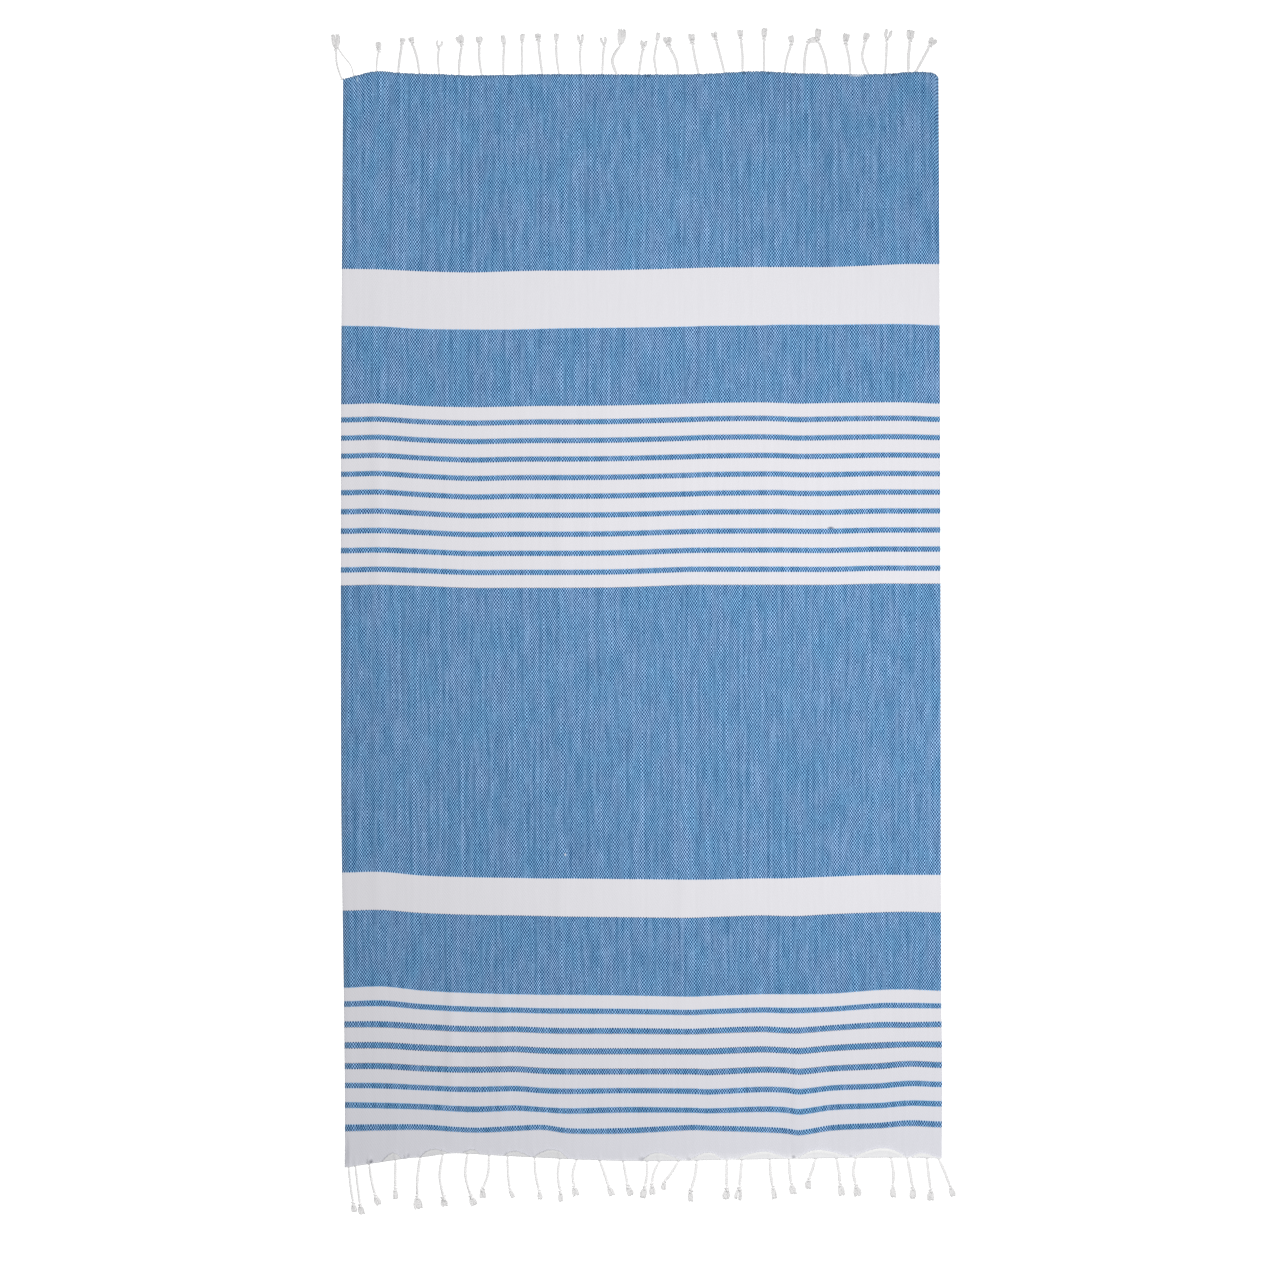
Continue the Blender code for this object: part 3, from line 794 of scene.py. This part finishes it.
def add_tube(points, faces, path, radii, sides):
    """Add a closed tube along a path to a mesh's points and faces, as soft yarn, a little flat."""
    beside, up = square_ways(path)
    angles = np.arange(sides) * 2 * pi / sides
    round_up = YARN_FLAT * np.sin(angles)[:, None] * up[:, None]
    ring = np.cos(angles)[:, None] * beside[:, None] + round_up
    rings = path[:, None] + ring * np.asarray(radii)[:, None, None]
    index = len(points) + np.arange(len(path) * sides).reshape(len(path), sides)
    points.extend(rings.reshape(-1, 3).tolist())
    a = index[:-1]
    b = np.roll(a, -1, axis=1)
    d = index[1:]
    c = np.roll(d, -1, axis=1)
    faces.extend(np.stack([a, d, c, b], -1).reshape(-1, 4).tolist())
    faces.append(index[0].tolist())
    faces.append(index[-1, ::-1].tolist())


def add_yarn(points, faces, route, radii):
    """Add one loose yarn: a smooth tube through four points."""
    path = curve_through(np.arange(4), np.array(route).T, np.linspace(0, 3, len(radii))).T
    add_tube(points, faces, path, radii, YARN_SIDES)


def add_plies(points, faces, path, half_wide, turn):
    """Add a cord of two plies wound about a path."""
    beside, up = square_ways(path)
    steps = np.linalg.norm(np.diff(path, axis=0), axis=-1)
    gone = np.concatenate([[0], np.cumsum(steps)])
    for ply in (0, 1):
        angle = 2 * pi * (gone / PLY_LEAD + turn + ply / 2)
        way = np.cos(angle)[:, None] * beside + YARN_FLAT * np.sin(angle)[:, None] * up
        ply_path = path + way * half_wide[:, None] * PLY_OFFSET
        add_tube(points, faces, ply_path, half_wide * PLY_RADIUS, PLY_SIDES)


def level_ways(x, y):
    """A level step's unit vector, the one square to it on its right, and the step's length."""
    long = np.hypot(x, y)
    return np.array([x, y, 0.0]) / long, np.array([y, -x, 0.0]) / long, long


def knot_route(hand):
    """An overhand knot's route, in millimetres ahead, beside and above its middle: in along the
    cord, round it, and out through the turn."""
    route = [(-KNOT_RUN, 0, -1.5), (-2.9, -0.2, -1.0), (-0.8, -0.5, -0.2), (1.2, -0.5, 0.7)]
    for step in range(KNOT_STEPS + 1):
        angle = pi / 2 + 2 * pi * KNOT_TURNS * step / KNOT_STEPS
        ahead = KNOT_HALF_LONG * (1 - 2 * step / KNOT_STEPS)
        above = KNOT_RADIUS * KNOT_FLAT * np.sin(angle)
        route.append((ahead, KNOT_RADIUS * np.cos(angle), above))
    route += [(-1.2, 0.5, -0.6), (0.6, 0.5, -0.3), (2.4, 0.3, 0), (3.6, 0, 0)]
    route = np.array(route) * (1, hand, 1)
    at = np.linspace(0, len(route) - 1, KNOT_POINTS)
    return curve_through(np.arange(len(route)), route.T, at).T


def place_knot(strand, knot_y, ahead, beside, hand):
    """A strand's knot as a path where it lies, drawn as fat as the strand's is."""
    high = (KNOT_RADIUS * KNOT_FLAT + KNOT_CORD * YARN_FLAT) * strand.swell
    centre = np.array([strand.knot, knot_y, high])
    route = knot_route(hand) * (1, strand.swell, strand.swell)
    return centre + route[:, :1] * ahead + route[:, 1:2] * beside + route[:, 2:] * (0, 0, 1)


def add_roots(points, faces, root, gathered, hem, outwards):
    """Add the few yarns that fan out from a gathered strand into the cloth's edge."""
    radii = np.linspace(*ROOT_YARN_HALF, ROOT_POINTS)
    for yarn in range(ROOT_YARNS):
        fan = ROOT_FAN * (2 * yarn / (ROOT_YARNS - 1) - 1)
        add_yarn(points, faces, [
            (root + fan, hem - outwards * ROOT_BACK, 0.6),
            (root + fan * 0.55, hem + outwards * 2, 0.8),
            (root + fan * 0.15, hem + outwards * ROOT_LONG * 0.6, 1.1),
            (gathered, hem + outwards * ROOT_LONG, 1.1),
        ], radii)


def add_tail(points, faces, strand, start, outwards, dice):
    """Add a strand's frayed tail: loose yarns that fan out past the knot and sink to the floor."""
    way, across, tail_long = level_ways(strand.tip - strand.knot, outwards * strand.tail)
    up = np.array([0, 0, 1.0])
    radii = YARN_HALF_WIDE * np.array(YARN_TAPER)
    for yarn in range(YARNS):
        fan = 2 * (yarn + dice.uniform(-0.3, 0.3)) / (YARNS - 1) - 1
        side = 1 if fan > 0 else -1
        fan = strand.fray * (side * strand.split + (1 - strand.split) * fan)
        parted = 1 - strand.split * TAIL_PARTED * (1 - abs(fan) / strand.fray)
        long = tail_long * dice.uniform(TAIL_SHORTEST, 1.0) * parted
        low = dice.uniform(*TAIL_HIGH) - start[2]
        sway = dice.uniform(-TAIL_SWAY, TAIL_SWAY)
        add_yarn(points, faces, [
            start + across * fan * 0.45,
            start + way * long * 0.35 + across * fan * 0.9 + up * low * 0.6,
            start + way * long * 0.7 + across * (fan + sway) + up * low,
            start + way * long + across * (fan * 0.95 - sway) + up * low,
        ], radii)


def add_strand(points, faces, strand, end_at, outwards, dice, knotted=True):
    """Add one strand: its cord, with its knot, its gathered root and its frayed tail."""
    hem = float(read_outline(end_at, strand.root))
    outs = (0, strand.reach / 2, strand.reach, strand.reach + strand.tail)
    xs = (strand.root, strand.half, strand.knot, strand.tip)
    cord_out = strand.reach - KNOT_RUN if knotted else strand.reach + strand.tail
    out = np.linspace(-ROOT_BACK, cord_out, round(cord_out / CORD_STEP) + 2)
    share = np.clip(out / strand.reach, 0, 1)
    half_wide = strand.cord * (ROOT_SHARE + (1 - ROOT_SHARE) * share)
    half_wide *= 1 - ROOT_NARROW * hump(out, ROOT_LONG)
    bends = 3 if knotted else 4
    x = curve_through(outs[:bends], xs[:bends], out)
    path = np.stack([x, hem + outwards * out, half_wide * YARN_FLAT + CORD_LIFT], -1)
    turn = dice.random()
    ahead, beside, _ = level_ways((strand.knot - strand.half) / (strand.reach / 2), outwards)
    if knotted:
        knot_y = hem + outwards * strand.reach
        knot = place_knot(strand, knot_y, ahead, beside, dice.choice((-1, 1)))
        path[:, 2] += (knot[0, 2] - path[:, 2]) * hump(out - cord_out, KNOT_RISE)
        path = np.concatenate([path[:-1], knot])
        tight = np.full(len(knot), KNOT_CORD * strand.swell)
        tight[:KNOT_TIGHTENS] = np.linspace(half_wide[-1], tight[0], KNOT_TIGHTENS)
        half_wide = np.concatenate([half_wide[:-1], tight])
    add_plies(points, faces, path, half_wide, turn)
    gathered = float(curve_through(outs, xs, ROOT_LONG))
    add_roots(points, faces, strand.root, gathered, hem, outwards)
    if knotted:
        add_tail(points, faces, strand, path[-1] - ahead * TAIL_BACK, outwards, dice)


def tie_fringe(name, strands, bare_legs, end_at, outwards, dice, material):
    """One end's strands, as one joined mesh, flat underneath where they lie on the floor."""
    points = []
    faces = []
    for strand in strands:
        add_strand(points, faces, strand, end_at, outwards, dice)
    for strand in bare_legs:
        add_strand(points, faces, strand, end_at, outwards, dice, knotted=False)
    points = np.array(points)
    points[:, 2] = np.maximum(points[:, 2], YARN_CLEAR)
    return new_piece(name, points, faces, material)


# The material: the same undyed cotton yarn, plied and rubbed. It is matt and a little fluffy, so the
# eye gets a light neutral grey with fine fibres, 0.7 mm apart, along the plies. The foot's yarn is
# paler, partly as painted light against the dimmer light at that end, and it is painted paler still
# towards the left, where less light reaches.
HEAD_YARN = ("#DDDCDC", "#E3E2E2")
FOOT_YARN = ("#EAE9E9", "#EFEEEE")
FOOT_LEFT_PAINTED_LIGHT = 1.14
YARN_FLUFF = 0.7
YARN_BUMP = 0.3
YARN_HIGH = 0.1
FIBRES_IN_METRE = 1400.0
OBJECT_PLACE = 3


def spin_cotton(name, shaded, pale, left_painted_light=1.0):
    """A plied cotton yarn between two greys, with painted light that makes it paler towards the left by
    the given factor.
    """
    material = bpy.data.materials.new(name)
    material.use_nodes = True
    tree = material.node_tree
    shader = tree.nodes["Principled BSDF"]
    shader.inputs["IOR"].default_value = COTTON_IOR
    shader.inputs["Roughness"].default_value = COTTON_ROUGH
    shader.inputs["Specular IOR Level"].default_value = COTTON_GLOSS
    shader.inputs["Sheen Weight"].default_value = YARN_FLUFF
    shader.inputs["Sheen Roughness"].default_value = COTTON_SHEEN_ROUGH
    place = add_node(tree, "TexCoord", out=OBJECT_PLACE)
    fibres = add_node(tree, "TexNoise", place, FIBRES_IN_METRE, 2.0)
    colour = add_node(tree, "Mix", fibres, linear(shaded), linear(pale), data_type="RGBA")
    # Painted light: the yarn is made paler towards the left, where the lamps reach less.
    side = add_node(tree, "SeparateXYZ", place)
    level = add_node(tree, "MapRange", side, -0.5, 0.5, left_painted_light, 1.0)
    colour = add_node(tree, "VectorMath", colour, level, operation="SCALE")
    tree.links.new(colour, shader.inputs["Base Color"])
    relief = add_node(tree, "Bump", YARN_BUMP, YARN_HIGH * MM, None, fibres)
    tree.links.new(relief, shader.inputs["Normal"])
    return material


dice = Random(STRAND_SEED)
fringe_head = tie_fringe(
    "head_strands", HEAD_STRANDS, HEAD_BARE_LEGS, HEAD_END, 1, dice,
    spin_cotton("head_yarn", *HEAD_YARN),
)
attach(fringe_head, "root")
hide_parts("fringe_head")

# ---------------------------------------------------------------------------------- the foot fringe
# The other end of the same warp, gathered, twisted, knotted and frayed as the head fringe is. Its
# strands come out from under the flipped hem.

fringe_foot = tie_fringe(
    "foot_strands", FOOT_STRANDS, [], FOOT_END, -1, dice,
    spin_cotton("foot_yarn", *FOOT_YARN, FOOT_LEFT_PAINTED_LIGHT),
)
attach(fringe_foot, "root")
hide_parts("fringe_foot")

# -------------------------------------------------------------------------- the floor and the light
# A plain studio floor, light grey with a glow of its own that keeps it white to its edges, and white
# walls. One broad soft light hangs high on the right, and a small one beyond the head end on the
# left. Sizes and places are in metres here, and each lamp's power is in watts.

FLOOR_WIDE = 50.0
FLOOR_GREY = "#A0A0A0"
FLOOR_ROUGH = 0.9
FLOOR_GLOW = 0.95
WALL_LIGHT = 0.168
Softbox = namedtuple("Softbox", "place wide power")
SOFTBOXES = (
    Softbox((0.554, -0.131, 2.0), 2.0, 49.8),
    Softbox((-0.70, 1.545, 1.5), 1.0, 10.6),
)

floor_paint = bpy.data.materials.new("matt_white_paint")
floor_paint.use_nodes = True
shader = floor_paint.node_tree.nodes["Principled BSDF"]
shader.inputs["Base Color"].default_value = linear(FLOOR_GREY)
shader.inputs["Roughness"].default_value = FLOOR_ROUGH
shader.inputs["Emission Color"].default_value = (1.0, 1.0, 1.0, 1.0)
shader.inputs["Emission Strength"].default_value = FLOOR_GLOW
floor_paint.cycles.emission_sampling = "NONE"
half = FLOOR_WIDE / 2 / MM
floor = new_piece(
    "floor",
    [(-half, -half, 0), (half, -half, 0), (half, half, 0), (-half, half, 0)],
    [(0, 1, 2, 3)],
    floor_paint,
)

walls = bpy.data.worlds.new("white_walls")
walls.use_nodes = True
background = walls.node_tree.nodes["Background"]
background.inputs["Color"].default_value = (1.0, 1.0, 1.0, 1.0)
background.inputs["Strength"].default_value = WALL_LIGHT
walls.cycles.sampling_method = "NONE"
bpy.context.scene.world = walls

for softbox in SOFTBOXES:
    lamp_data = bpy.data.lights.new("softbox", "AREA")
    lamp_data.shape = "SQUARE"
    lamp_data.size = softbox.wide
    lamp_data.energy = softbox.power
    lamp = bpy.data.objects.new("softbox", lamp_data)
    lamp.location = softbox.place
    lamp.visible_camera = False
    bpy.context.scene.collection.objects.link(lamp)

# --------------------------------------------------------------------------------------- the camera
# It hangs high over the towel and looks straight down, so that the cloth is seen face on. Its angle
# takes in VIEW_WIDE metres of the floor.

VIEW_WIDE = 2.1376
VIEW_MIDDLE = (-0.005, -0.0317)
CAMERA_HIGH = 7.0

camera_data = bpy.data.cameras.new("camera")
camera_data.angle = 2 * atan(VIEW_WIDE / 2 / CAMERA_HIGH)
camera_data.clip_end = 100.0
camera = bpy.data.objects.new("camera", camera_data)
camera.location = (*VIEW_MIDDLE, CAMERA_HIGH)
bpy.context.scene.collection.objects.link(camera)
bpy.context.scene.camera = camera
bpy.context.scene.view_settings.view_transform = "Standard"

# The denoiser reads its guides unfiltered here, or it takes the weave for noise and wipes it out.
bpy.context.scene.cycles.denoising_prefilter = "NONE"
